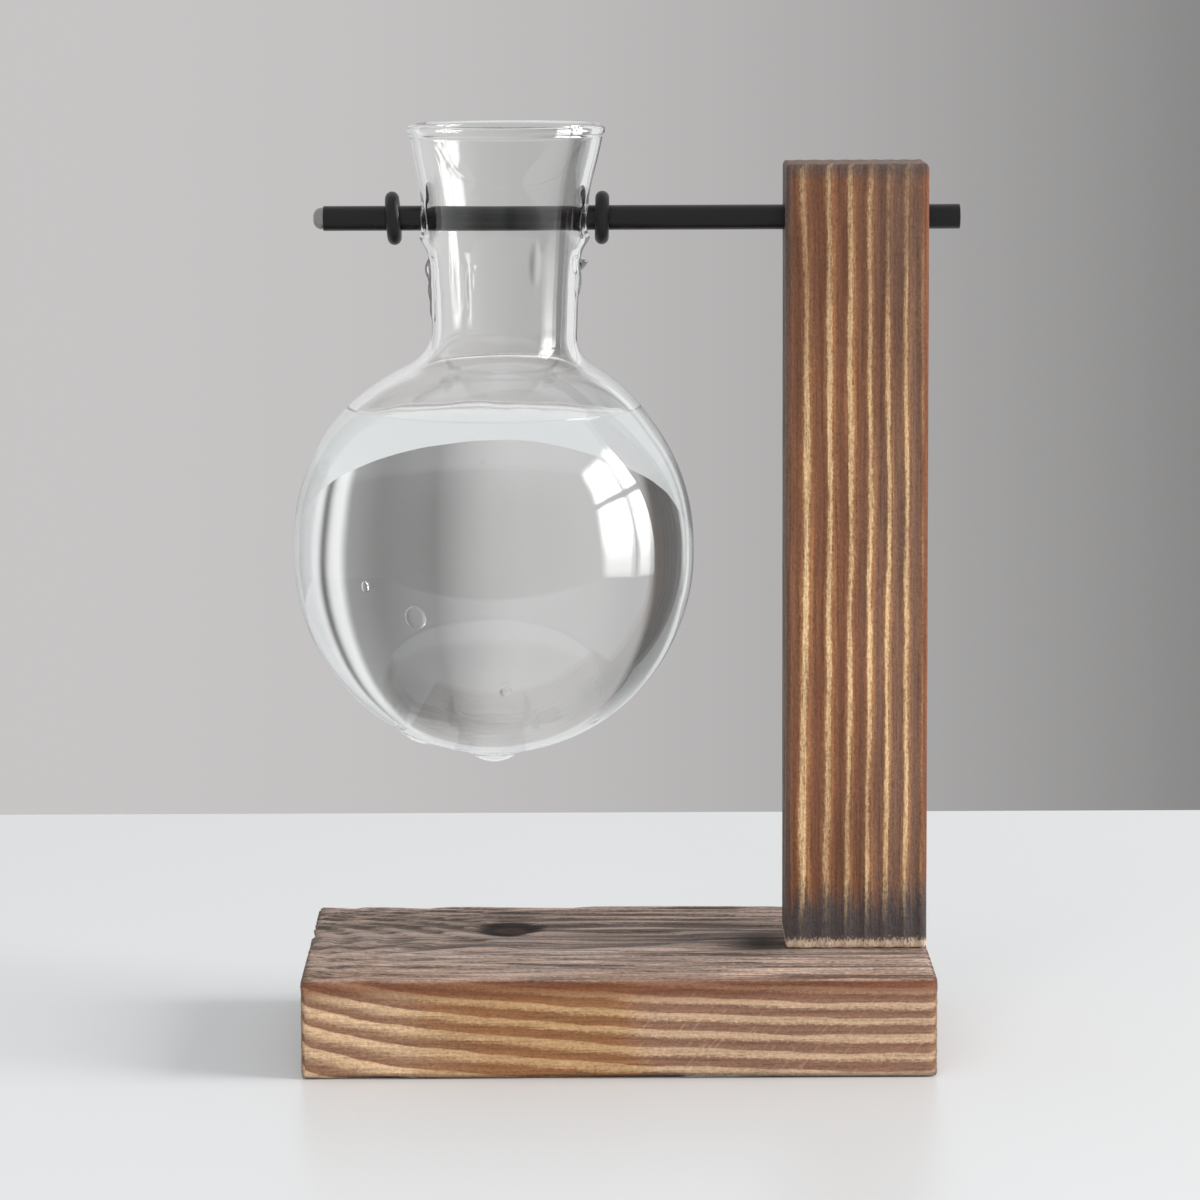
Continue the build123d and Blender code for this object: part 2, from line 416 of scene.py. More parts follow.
class WoodSettings(bpy.types.PropertyGroup):
    """Colours and relief of the scorched and brushed boards."""

    pale: colour_setting("Pale ring", "Raised pale growth ring", (0.68, 0.465, 0.255))
    dull_pale: colour_setting("Dull pale ring", "Pale ring where the wood is greyer", (0.56, 0.385, 0.25))
    golden: colour_setting("Golden wood", "Wood beside a pale ring of the post", (0.38, 0.18, 0.07))
    brown: colour_setting("Brown wood", "Wood between the base board's rings", (0.335, 0.155, 0.067))
    post_brown: colour_setting("Post brown", "Wood between the post's rings", (0.2, 0.082, 0.042))
    red: colour_setting("Red edge", "Stain that gathers along the edges", (0.21, 0.072, 0.034))
    dull: colour_setting("Dull wood", "Greyer wood of the boards' right halves", (0.22, 0.118, 0.078))
    # The scorched ridges' pale grey is partly their own colour and partly painted sheen
    scorched: colour_setting("Scorched wood", "Ridges of the scorched top", (0.54, 0.415, 0.352))
    groove: colour_setting("Groove", "Dark wood between the scorched ridges", (0.095, 0.067, 0.055))
    # Ash also paints shade on the post's left side
    ash_and_shade: colour_setting("Ash", "Burnt foot, head and left side of the post", (0.084, 0.073, 0.073))
    # Char also paints shade: beside the post's foot and along the base's bottom edge
    char: colour_setting("Char", "Burnt knot", (0.024, 0.020, 0.018))
    worn: colour_setting("Worn foot", "Bare wood along the post's lowest edge", (0.80, 0.615, 0.445))
    ridge: length_setting("Ridge height", "How far brushed rings stand out of the wood between them", 0.35)
    fibre: length_setting("Fibre relief", "Depth of the brushed fibres", 0.14)
    base_end_relief: number_setting("Base end relief", "Relief on the base's ends, as a share of the rest", 1.7)
    post_end_relief: number_setting("Post end relief", "Relief on the post's ends, as a share of the rest", 0.25)
    edge: length_setting("Edge round", "Radius of the boards' edges", 1.0)
    cell_along: length_setting("Cell along the grain", "Mesh size along the grain", 1.0)
    cell_across: length_setting("Cell across the grain", "Mesh size across the grain", 0.4)


class GlassSettings(bpy.types.PropertyGroup):
    """Sizes of the blown glass, on the outside of its wall."""

    globe_radius: length_setting("Globe radius", "Radius of the globe", 40.2)
    band: length_setting("Band", "Straight stretch at the globe's widest place", 2.4)
    neck_radius: length_setting("Neck radius", "Radius at the foot of the neck", 14.6)
    mouth_radius: length_setting("Mouth radius", "Radius of the mouth", 19.25)
    flare_height: length_setting("Neck height", "From the foot of the neck to the lip", 40.3)
    hole_to_lip: length_setting("Hole to lip", "From the holes up to the lip", 18.0)
    shoulder_round: length_setting("Shoulder round", "Radius where the globe turns into the neck", 7.45)
    wall: length_setting("Wall", "Thickness of the glass", 1.8)
    lip_bead: length_setting("Lip bead", "Diameter of the melted lip", 2.4)
    hole_radius: length_setting("Hole radius", "Radius of the holes for the rod", 3.0)
    collar: length_setting("Collar", "How far the glass is drawn out round the holes", 1.5)
    collar_thin: number_setting("Collar inside", "How much the inside follows the drawn-out glass", 0.8)
    neck_shift: length_setting("Neck shift", "How far the neck sits to the right of its middle", 1.0)
    lip_lean: length_setting("Lip lean", "How far the lip sits to the right of the neck", 0.5)
    lip_swell: length_setting("Lip swell", "How far the neck swells below the lip", 0.45)
    sway: length_setting("Sway", "How far the globe sits to the left of the neck", 1.55)
    wave: length_setting("Wave", "Unevenness of hand-blown glass", 0.06)
    tint: colour_setting("Glass colour", "Faint tint of clear glass", (0.985, 0.992, 0.988))


class WaterSettings(bpy.types.PropertyGroup):
    """The water in the globe and the drops on the glass."""

    level: length_setting("Level", "Height of the water above the table", 127.0)
    creep: length_setting("Creep", "How far the water's rim climbs the glass", 0.9)
    capillary: length_setting("Capillary length", "Reach of surface tension in water", 2.7)
    overlap: length_setting("Overlap", "How far the water lies inside the glass, so no air shows", 0.12)
    contact: FloatProperty(
        name="Contact angle", description="Angle at which a drop meets the glass", subtype="ANGLE",
        default=math.radians(55),
    )
    drop_root: length_setting("Drop root", "How far a drop's base lies inside the glass", 0.35)


class StandSettings(bpy.types.PropertyGroup):
    """All that a user would change."""

    wood: PointerProperty(type=WoodSettings)
    glass: PointerProperty(type=GlassSettings)
    water: PointerProperty(type=WaterSettings)
    lens: number_setting("Lens", "Focal length on a 36 mm sensor, in millimetres", 165.0)


def settings():
    """The scene's settings."""
    return bpy.context.scene.vase_stand


def ring_field(turns):
    """1 on a growth ring and 0 halfway to the next one, from the count of rings."""
    return (turns * TURN).math("COSINE") * 0.5 + 0.5


def base_grain(tree):
    """The base board's rings and fibres, the same in its material and in its mesh."""
    spot = x, y, z = place(tree)
    slope = (RINGS_LEVEL_X - x) * RINGS_SLOPE
    left_end = ((x + BASE_END) / -LEFT_SWEEP_FADE).math("EXPONENT") * LEFT_SWEEP
    right_end = (x - RIGHT_BEND_X).math("MAXIMUM", 0.0) / RIGHT_BEND_LENGTH
    lifted = z - slope - left_end - right_end * right_end
    across, up = y - BASE_PITH_Y, lifted - BASE_PITH_Z
    wander = noise(tree, spot, (0.015, 0.04, 0.04)) * 0.6 + noise(tree, spot, (0.08, 0.3, 0.3)) * 0.4
    knot_x, knot_y = (x - KNOT_X) / KNOT_HALF_X, (y - KNOT_Y) / KNOT_HALF_Y
    swirl = (knot_x * knot_x * 0.35 + knot_y * knot_y).math("SQRT").bell(0.0, 1.3) * 2.6
    radius = (across * across + up * up).math("SQRT") + wander + swirl
    turns = (radius - BASE_RING_RADIUS) / BASE_RING_PITCH
    return SimpleNamespace(
        spot=spot, turns=turns, ring=ring_field(turns),
        fibre=noise(tree, spot, (0.045, 1.7, 1.7), detail=3.0),
        knot=(knot_x * knot_x + knot_y * knot_y).math("SQRT"),
    )


def post_grain(tree):
    """The post's rings and fibres, the same in its material and in its mesh."""
    spot = x, y, _ = place(tree)
    wander = noise(tree, spot, (0.03, 0.05, 0.012)) * 0.9 + noise(tree, spot, (0.25, 0.2, 0.05)) * 0.4
    across, deep = x - POST_PITH_X, y - POST_PITH_Y
    radius = (across * across + deep * deep).math("SQRT") + wander
    return SimpleNamespace(
        spot=spot, ring=ring_field((radius - POST_RING_RADIUS) / POST_RING_PITCH),
        fibre=noise(tree, spot, (1.8, 1.8, 0.045), detail=3.0),
    )


def board_tree(name, grain, hollow=None):
    """A geometry tree for one board: a fine box with round edges, brushed so that its rings stand out,
    less whatever solid comes in as its geometry."""
    tree, given, result = new_tree(name, {
        "Size": "Vector", "Middle": "Vector", "Edge round": "Float", "Ridge height": "Float",
        "Fibre relief": "Float", "Grain": "Vector", "End relief": "Float",
        "Vertices X": "Int", "Vertices Y": "Int", "Vertices Z": "Int", "Material": "Material",
    })
    box = add_node(tree, "GeometryNodeMeshCube", {
        label: given.outputs[label] for label in ("Size", "Vertices X", "Vertices Y", "Vertices Z")
    })
    # Pull the edges in to a round, then move the box to its place
    spot = add_node(tree, "GeometryNodeInputPosition").outputs[0]
    half = vector_math(tree, "MULTIPLY", given.outputs["Size"], (0.5, 0.5, 0.5))
    core = vector_math(tree, "SUBTRACT", half, given.outputs["Edge round"])
    back = vector_math(tree, "MULTIPLY", core, (-1.0, -1.0, -1.0))
    inside = vector_math(tree, "MAXIMUM", vector_math(tree, "MINIMUM", spot, core), back)
    outward = vector_math(tree, "NORMALIZE", vector_math(tree, "SUBTRACT", spot, inside))
    edge = vector_math(tree, "MULTIPLY", outward, given.outputs["Edge round"])
    rounded = vector_math(tree, "ADD", vector_math(tree, "ADD", inside, edge), given.outputs["Middle"])
    shaped = add_node(tree, "GeometryNodeSetPosition", {"Geometry": box.outputs["Mesh"], "Position": rounded})
    # Brush the soft wood away between the rings
    wood = grain(tree)
    ridge, fibre, end_relief = (
        Field(tree, given.outputs[label]) for label in ("Ridge height", "Fibre relief", "End relief")
    )
    depth = wood.ring.ramp(0.85, 0.25) * ridge + (wood.fibre * 0.5 + 0.5) * fibre
    if hollow:
        depth = depth + hollow(wood) * ridge
    normal = add_node(tree, "GeometryNodeInputNormal").outputs[0]
    lengthwise = add_node(
        tree, "ShaderNodeVectorMath", {0: normal, 1: given.outputs["Grain"]}, operation="DOT_PRODUCT"
    )
    on_end = Field(tree, lengthwise.outputs["Value"]).math("ABSOLUTE")
    depth = depth * (on_end * (end_relief - 1.0) + 1.0)
    brushed = add_node(tree, "GeometryNodeSetPosition", {
        "Geometry": shaped.outputs["Geometry"], "Offset": scaled(tree, normal, depth * -1.0),
    })
    bored = add_node(tree, "GeometryNodeMeshBoolean", {
        "Mesh 1": brushed.outputs["Geometry"], "Mesh 2": given.outputs["Geometry"],
    }, operation="DIFFERENCE", solver="EXACT")
    return end_tree(tree, bored.outputs["Mesh"], given, result)


def make_board(name, tree, low, high, cells, grain, cutter, material, node):
    """One board from its tree, in the place of its CAD node. Grain is the way its fibres run and how deep
    the brush goes on its ends, and cutter is the solid it is bored with."""
    wood = settings().wood
    size = high - low
    piece = new_object(name, new_mesh(name, *cutter))
    run_tree(piece, tree, {
        "Size": size, "Middle": (low + high) / 2, "Edge round": wood.edge, "Ridge height": wood.ridge,
        "Fibre relief": wood.fibre, "Grain": grain[0], "End relief": grain[1], "Material": material,
        **{f"Vertices {axis}": int(size[i] / cells[i]) + 1 for i, axis in enumerate("XYZ")},
    })
    piece.data.set_sharp_from_angle(angle=math.radians(50))
    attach(piece, "stand")
    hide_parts(node)


def base_material():
    """Scorched top, banded front and a charred knot."""
    wood = settings().wood
    material, tree, shader = new_material("scorched_base_wood")
    grain = base_grain(tree)
    x, y, z = grain.spot
    speckle = noise(tree, grain.spot, (0.9, 3.0, 3.0), detail=4.0)
    grit = noise(tree, grain.spot, (1.8, 1.8, 1.8), detail=4.0)
    cloud = noise(tree, grain.spot, (0.03, 0.06, 0.06), detail=3.0)
    streak = noise(tree, grain.spot, (0.010, 0.42, 0.42), detail=4.0)
    # Front, back and ends: pale bands on brown, golden in the middle and duller towards both ends
    right = (x + cloud * 10.0).ramp(-1.0, 10.0)
    left = (x + cloud * 18.0).ramp(-30.0, -45.0)
    # Each band starts sharply at its upper edge and fades downwards, slowest at the left
    phase = (grain.turns + 0.75).math("FRACT")
    fade = phase + speckle * 0.14 + grain.fibre * 0.10 + grit * 0.10
    tight = fade.ramp(0.55, 0.81)
    band = (tight + (fade.ramp(0.0, 1.0) - tight) * left) * phase.ramp(1.0, 0.93)
    between = Paint(tree, wood.brown).over(right.math("MAXIMUM", left * 0.8), wood.dull)
    between = between.times(right * 0.28 + 1.04)
    pale = Paint(tree, wood.pale).over(right.math("MAXIMUM", left * 0.7), wood.dull_pale)
    pale = pale.over((1.0 - left) * (1.0 - right) * 0.42, wood.golden)
    side = between.over(band * 0.95, pale).times(left * 0.24 + right * 0.14 + 1.0)
    # The saw has left slanting marks, mostly at the right. Stain gathers at the top, painted shade at the bottom
    saw = noise(tree, (x * 0.8 + z, x - z * 0.8, y), (0.08, 1.1, 0.1), detail=3.0).ramp(0.12, 0.45)
    side = side.over(saw * (right * 0.45 + 0.05), wood.dull_pale)
    stained = z + cloud * 1.2 + grain.fibre + speckle * 0.6
    side = side.over(stained.ramp(BASE_TOP - 5.2, BASE_TOP - 1.8) * 0.8, wood.red)
    # Painted shade: a dark band along the bottom edge, where the board meets the table
    side = side.over((z + grain.fibre * 0.5).ramp(1.6, 0.2) * 0.6, wood.char)
    # Top: scorched grooves between brushed ridges, warmer in places, painted light at the right front
    ridge = grain.ring * 0.38 + streak * 1.5 + speckle * 0.45 + grain.fibre * 0.55 + 0.06
    warm = (cloud * 0.7 + 0.15) * ridge.ramp(0.0, 0.8) + y.ramp(-26.0, -40.0) * 0.25
    # The ridges' pale grey colour is partly painted sheen
    top = Paint(tree, wood.groove).over(ridge.ramp(-0.22, 0.95), wood.scorched).over(warm * 0.7, wood.brown)
    # Painted highlight: the top's right front is brightened as if lit
    top = top.times(x.ramp(10.0, 34.0) * y.ramp(-10.0, -24.0) * 0.42 + 1.0)
    colour = side.over(z.ramp(BASE_TOP - 1.1, BASE_TOP - 0.25), top)
    colour = colour.over(x.math("ABSOLUTE").ramp(BASE_END - 1.1, BASE_END - 0.3) * 0.55, wood.groove)
    # The knot is burnt, and beside the post's foot the top has char and painted shadow
    burnt = (grain.knot + grain.fibre * 0.25 + streak * 0.2).ramp(1.05, 0.75)
    burnt = burnt * ((grain.knot * 11.0 + grit * 2.0).math("COSINE") * 0.08 + 0.92)
    # Painted shadow with char: darkening on the top beside the post's foot
    foot = x.bell(POST_LEFT - 4.6, 8.0) * y.bell(-1.0, 13.0) * z.ramp(BASE_TOP - 1.5, BASE_TOP - 0.5) * 0.95
    char_and_shadow_mask = burnt.math("MAXIMUM", foot)
    colour = colour.over(char_and_shadow_mask, wood.char).times(grain.fibre * 0.45 + speckle * 0.4 + grit * 0.35 + 1.0)
    shader.inputs["Specular IOR Level"].default_value = 0.28
    roughness = speckle * 0.15 + char_and_shadow_mask * 0.3 + 0.60
    cover(tree, shader, colour, roughness, grain.fibre + speckle * 0.8 + streak, WOOD_BUMP)
    return material


def post_material():
    """Pale raised lines on red-brown wood, charred at the foot, with painted shade on the left."""
    wood = settings().wood
    material, tree, shader = new_material("scorched_post_wood")
    grain = post_grain(tree)
    x, _, z = grain.spot
    speckle = noise(tree, grain.spot, (3.0, 3.0, 0.7), detail=4.0)
    grit = noise(tree, grain.spot, (2.0, 2.0, 1.7), detail=4.0)
    cloud = noise(tree, grain.spot, (0.09, 0.09, 0.02), detail=3.0)
    patch = noise(tree, grain.spot, (0.18, 0.18, 0.035), detail=3.0)
    # Between the lines the wood is reddish brown, golden beside the lines, and duller to the right
    right = (x + cloud * 8.0).ramp(45.0, 58.0)
    # Painted light: a band of light painted round the post's middle height, which the golden halo and the pale
    # lines follow
    painted_light_band = z.bell(80.0, 62.0)
    halo = (grain.ring + grain.fibre * 0.35 + grit * 0.3).ramp(0.15, 1.05)
    halo = halo * (patch * 0.8 + painted_light_band * 0.35 + 0.35)
    between = Paint(tree, wood.post_brown).over(right, wood.dull).over(halo, wood.golden)
    line = (grain.ring + speckle * 0.12 + grain.fibre * 0.08 + grit * 0.08 + patch * 0.06).ramp(0.80, 1.03)
    # The pale lines fade where the wood is worn, and are brighter in the painted light band
    worn_and_lit_line = line * (patch * 0.6 + painted_light_band * 0.45 + 0.50).ramp(0.0, 1.0)
    colour = between.over(worn_and_lit_line, wood.pale).times(painted_light_band * 0.32 + patch * 0.25 + 0.92)
    # Stain gathers on the right-hand edge, the foot and head are burnt, and the left side has painted shade
    red_edge = (x + speckle * 0.6).ramp(POST_RIGHT - 2.1, POST_RIGHT - 0.7) * 0.95
    rag = grain.ring * -3.5 + grain.fibre * 2.5 + speckle * 2.0 + cloud * 3.0
    foot = (z + rag).ramp(POST_FOOT + 13.0, POST_FOOT + 5.0)
    foot = foot * (0.95 - worn_and_lit_line * z.ramp(POST_FOOT + 4.0, POST_FOOT + 10.0) * 0.4)
    head = (z + grain.fibre).ramp(POST_HEAD - 4.0, POST_HEAD - 0.7) * 0.6
    # Painted shade: the left face is darkened as if turned away from the light
    left = (x + grain.fibre * 0.3).ramp(POST_LEFT + 1.4, POST_LEFT + 0.4) * (cloud * 0.5 + 0.68)
    # Burnt here also holds the painted shade on the left face
    burnt = foot.math("MAXIMUM", head).math("MAXIMUM", left)
    # The lowest edge is worn down to bare wood
    worn = z + grain.fibre * 0.7 + grit * 1.5 + speckle * 1.1
    worn = worn.ramp(POST_FOOT + 2.4, POST_FOOT + 1.2) * 0.95
    colour = colour.over(red_edge, wood.red).over(burnt, wood.ash_and_shade).over(worn, wood.worn)
    colour = colour.times(grain.fibre * 0.5 + speckle * 0.4 + grit * 0.38 + 1.0)
    shader.inputs["Specular IOR Level"].default_value = 0.4
    relief = grain.fibre + speckle * 0.8 + grit * 0.5
    cover(tree, shader, colour, speckle * 0.15 + 0.56, relief, WOOD_BUMP)
    return material


def screw_cutter():
    """Countersunk bores for the screws, which come up from the base board's underside."""
    low, high = screw_boxes[0]
    sink, head = low.z, (high.x - low.x) / 2
    top = base_high.z + OVERRUN
    outline = [
        (0, -sink), (head + 2 * sink, -sink), (SHANK_BORE, head - SHANK_BORE + sink), (SHANK_BORE, top), (0, top)
    ]
    vertices, faces = [], []
    for low, high in screw_boxes:
        start = len(vertices)
        ring, quads = turned(outline, SCREW_BORE_STEPS)
        vertices += moved(ring, (low.x + high.x) / 2, (low.y + high.y) / 2, 0)
        faces += [[start + corner for corner in quad] for quad in quads]
    return vertices, faces


def rod_cutter():
    """The bore through the post for the rod."""
    left, right = post_low.x - OVERRUN, post_high.x + OVERRUN
    radius = rod_radius + ROD_FIT
    ring, quads = turned([(0, left), (radius, left), (radius, right), (0, right)], ROD_BORE_STEPS)
    return along_x(ring, rod_z), quads


class VASE_OT_boards(bpy.types.Operator):
    """The base board and the post, brushed and scorched"""

    bl_idname = "vase_stand.boards"
    bl_label = "Boards"

    def execute(self, context):
        wood = settings().wood
        along, across = wood.cell_along, wood.cell_across
        base = board_tree("BaseBoard", base_grain, lambda grain: grain.knot.ramp(1.1, 0.5) * 1.5)
        make_board(
            "base_board_wood", base, base_low, base_high, (along, across, across),
            (Vector((1, 0, 0)), wood.base_end_relief), screw_cutter(), base_material(),
            "base_board",
        )
        post = board_tree("UprightPost", post_grain)
        make_board(
            "upright_post_wood", post, post_low, post_high, (across, across, along),
            (Vector((0, 0, 1)), wood.post_end_relief), rod_cutter(), post_material(),
            "upright_post",
        )
        return {"FINISHED"}


def metal(name, colour, roughness, streak):
    """Bare metal with fine marks. Streak gives the marks' density along X, Y and Z, per millimetre."""
    material, tree, shader = new_material(name)
    marks = noise(tree, place(tree), streak, detail=4.0)
    tone = Paint(tree, [0.75 * c for c in colour]).over(marks * 0.5 + 0.5, colour)
    shader.inputs["Metallic"].default_value = 1.0
    cover(tree, shader, tone, marks * 0.12 + roughness, marks, 0.02 * MM)
    return material


def black_finish(name, colour, roughness, streak, depth):
    """A black plastic or rubber with faint marks and dust."""
    material, tree, shader = new_material(name)
    spot = place(tree)
    marks = noise(tree, spot, streak, detail=3.0)
    dust = noise(tree, spot, (0.8, 0.8, 0.8), detail=5.0).ramp(0.25, 0.8)
    tone = Paint(tree, colour).over(dust * 0.35, [c + 0.015 for c in colour])
    shader.inputs["Specular IOR Level"].default_value = 0.3
    cover(tree, shader, tone, marks * 0.1 + dust * 0.12 + roughness, marks, depth)
    return material


def paint_node(name, material):
    """Gives a CAD node's own mesh a material."""
    mesh = frame["nodes"][name].data
    mesh.materials.clear()
    mesh.materials.append(material)


class VASE_OT_screws(bpy.types.Operator):
    """The two screws under the base board"""

    bl_idname = "vase_stand.screws"
    bl_label = "Screws"

    def execute(self, context):
        zinc = metal("zinc_screw", (0.58, 0.57, 0.55), 0.36, (1.5, 1.5, 1.5))
        for name in ("post_screw_inner", "post_screw_outer"):
            paint_node(name, zinc)
        return {"FINISHED"}


class VASE_OT_rod(bpy.types.Operator):
    """The steel rod and the black sleeve on it"""

    bl_idname = "vase_stand.rod"
    bl_label = "Rod"

    def execute(self, context):
        paint_node("rod_core", metal("rod_steel", (0.30, 0.29, 0.28), 0.25, (0.6, 6.0, 6.0)))
        black = black_finish("sleeve_black", (0.004, 0.004, 0.0045), 0.30, (0.05, 5.0, 5.0), 0.01 * MM)
        paint_node("rod_sleeve", black)
        return {"FINISHED"}


class VASE_OT_rings(bpy.types.Operator):
    """The rubber rings on each side of the neck"""

    bl_idname = "vase_stand.rings"
    bl_label = "Rings"

    def execute(self, context):
        rubber = black_finish("ring_rubber", (0.007, 0.007, 0.008), 0.42, (2.0, 2.0, 2.0), 0.02 * MM)
        for name, tilt in RING_TILTS:
            low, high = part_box(name)
            cord = (high.x - low.x) / 2
            bend = (high.z - low.z) / 2 - cord
            section = arc((bend, 0), cord, 0, TURN, CORD_STEPS)
            vertices, faces = turned(section, RING_STEPS, closed=True)
            c, s = math.cos(math.radians(tilt)), math.sin(math.radians(tilt))
            leaning = [(x * c - z * s, y, x * s + z * c) for x, y, z in along_x(vertices)]
            mesh = new_mesh(name, moved(leaning, *((low + high) / 2)), faces, rubber)
            piece = new_object(f"rubber_{name}", mesh)
            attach(piece, name)
            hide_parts(name)
        return {"FINISHED"}


def glass_outline():
    """Heights and radii of the outside of the glass, with the holes at height zero."""
    glass = settings().glass
    foot = glass.hole_to_lip - glass.flare_height
    span = glass.globe_radius + glass.shoulder_round
    reach = glass.neck_radius + glass.shoulder_round
    upper = foot - math.sqrt(span**2 - reach**2)
    run = glass.mouth_radius - glass.neck_radius
    bend = (glass.flare_height**2 + run**2) / (2 * run)

    def neck(height, inset=0.0):
        """Radius of the neck's wall at a height, moved in by inset."""
        return glass.neck_radius + bend - math.sqrt((bend + inset) ** 2 - (height - foot) ** 2)

    return SimpleNamespace(
        foot=foot, upper=upper, lower=upper - glass.band, neck=neck,
        crown=math.acos(reach / span), shoulder_middle=reach,
    )


def globe_outline(radius, bottom_points, end):
    """The outline of a globe inside or outside the wall, from the bottom up to an angle near the neck."""
    shape = glass_outline()
    points = [(0.0, shape.lower - radius)]
    points += arc((0, shape.lower), radius, -QUARTER, 0, bottom_points)[1:]
    points += [(radius, shape.lower)]
    return points + arc((0, shape.upper), radius, 0, end, TOP_POINTS)


def wall_outline(inset, block):
    """The outline of the outside of the glass, or of its inside, from the bottom up to below the lip.
    Block is the list of heights across the holes."""
    glass = settings().glass
    shape = glass_outline()
    points = globe_outline(glass.globe_radius - inset, BOTTOM_POINTS, shape.crown)
    shoulder = (shape.shoulder_middle, shape.foot)
    round_out = glass.shoulder_round + inset
    points += arc(shoulder, round_out, math.pi + shape.crown, math.pi, SHOULDER_POINTS)
    low = [shape.foot + (block[0] - shape.foot) * k / NECK_POINTS for k in range(NECK_POINTS)]
    rest = glass.hole_to_lip - LIP_START - block[-1]
    high = [block[-1] + rest * (k + 1) / LIP_POINTS for k in range(LIP_POINTS)]
    return points + [(shape.neck(height, inset), height) for height in (*low, *block, *high)]


def crooked(points):
    """Points of the vase with the small faults of hand-blown glass, moved to where it hangs."""
    glass = settings().glass
    shape = glass_outline()
    x, y, h = np.array(points, float).T
    share = np.clip((shape.foot + SWAY_START - h) / SWAY_SPAN, 0, 1)
    globe_share = share * share * (3 - 2 * share)
    angle = np.arctan2(y, x)
    wave = np.sin(2 * angle + h * 60 + 0.4) + 0.7 * np.sin(3 * angle - h * 110 + 1.3)
    wave = wave + 0.3 * np.sin(h * 330 + 1.5 * np.sin(angle))
    lip_swell = glass.lip_swell * np.exp(-(((h - SWELL_HEIGHT) / SWELL_REACH) ** 2))
    swell = 1 + (glass.wave * wave + lip_swell) / np.maximum(np.hypot(x, y), WAVE_RADIUS)
    lean = glass.neck_shift - (glass.sway + glass.neck_shift) * globe_share
    lean = lean + glass.lip_lean * np.clip(h / glass.hole_to_lip, 0, 1) ** 2
    return np.column_stack([x * swell + lean + vase_x, y * swell, h + hole_height()])


def hole_height():
    """Height of the holes' middle. Their tops rest on the rod."""
    return rod_z + rod_radius + ROD_FIT - settings().glass.hole_radius


def glass_mesh(material):
    """One closed wall of glass: turned outside and inside, a melted lip, and two drawn-out holes."""
    glass = settings().glass
    shape = glass_outline()
    half = BLOCK_CELLS
    block = [BLOCK_HEIGHT * k / half for k in range(-half, half + 1)]
    outside = wall_outline(0.0, block)
    inside = wall_outline(glass.wall, block)
    lip = (shape.neck(glass.hole_to_lip, glass.wall / 2), glass.hole_to_lip)
    rim = arc(lip, glass.lip_bead / 2, RIM_START, RIM_END, RIM_POINTS)
    outline = outside + rim + inside[::-1]
    vertices, faces = turned(outline, COLUMNS)
    first_out = outside.index((shape.neck(block[0]), block[0]))
    first_in = len(outline) - 1 - inside.index((shape.neck(block[0], glass.wall), block[0]))
    # Leave the two blocks open
    holes = ((0, 1), (COLUMNS // 2, -1))
    skipped = set()
    for middle, _ in holes:
        for k in range(2 * half):
            for j in range(-half, half):
                column = (middle + j) % COLUMNS
                skipped |= {(first_out + k, column), (first_in - k - 1, column)}
    keep = [face for index, face in enumerate(faces) if divmod(index, COLUMNS) not in skipped]
    swollen = with_runs(vertices[:1 + (len(outside) - 1) * COLUMNS])
    vertices = swollen + [list(v) for v in vertices[len(swollen):]]

    def corner(ring, column):
        """A vertex's number. The first ring, at the bottom, has one vertex only."""
        return 1 + (ring - 1) * COLUMNS + column % COLUMNS

    # Close each block from the outside through the hole to the inside
    loop = [(0, j) for j in range(-half, half)] + [(k, half) for k in range(2 * half)]
    loop += [(2 * half, j) for j in range(half, -half, -1)] + [(k, -half) for k in range(2 * half, 0, -1)]
    for middle, side in holes:
        outer = [corner(first_out + k, middle + j) for k, j in loop]
        inner = [corner(first_in - k, middle + j) for k, j in loop]
        rows = [outer] + hole_rows(vertices, outer, inner, side) + [inner]
        for low, high in zip(rows, rows[1:]):
            for n in range(len(loop)):
                after = (n + 1) % len(loop)
                keep.append([low[n], low[after], high[after], high[n]])
    used = sorted({number for face in keep for number in face})
    renumber = {old: new for new, old in enumerate(used)}
    points = crooked([vertices[old] for old in used])
    return new_mesh("glass_vase", points, [[renumber[number] for number in face] for face in keep], material)


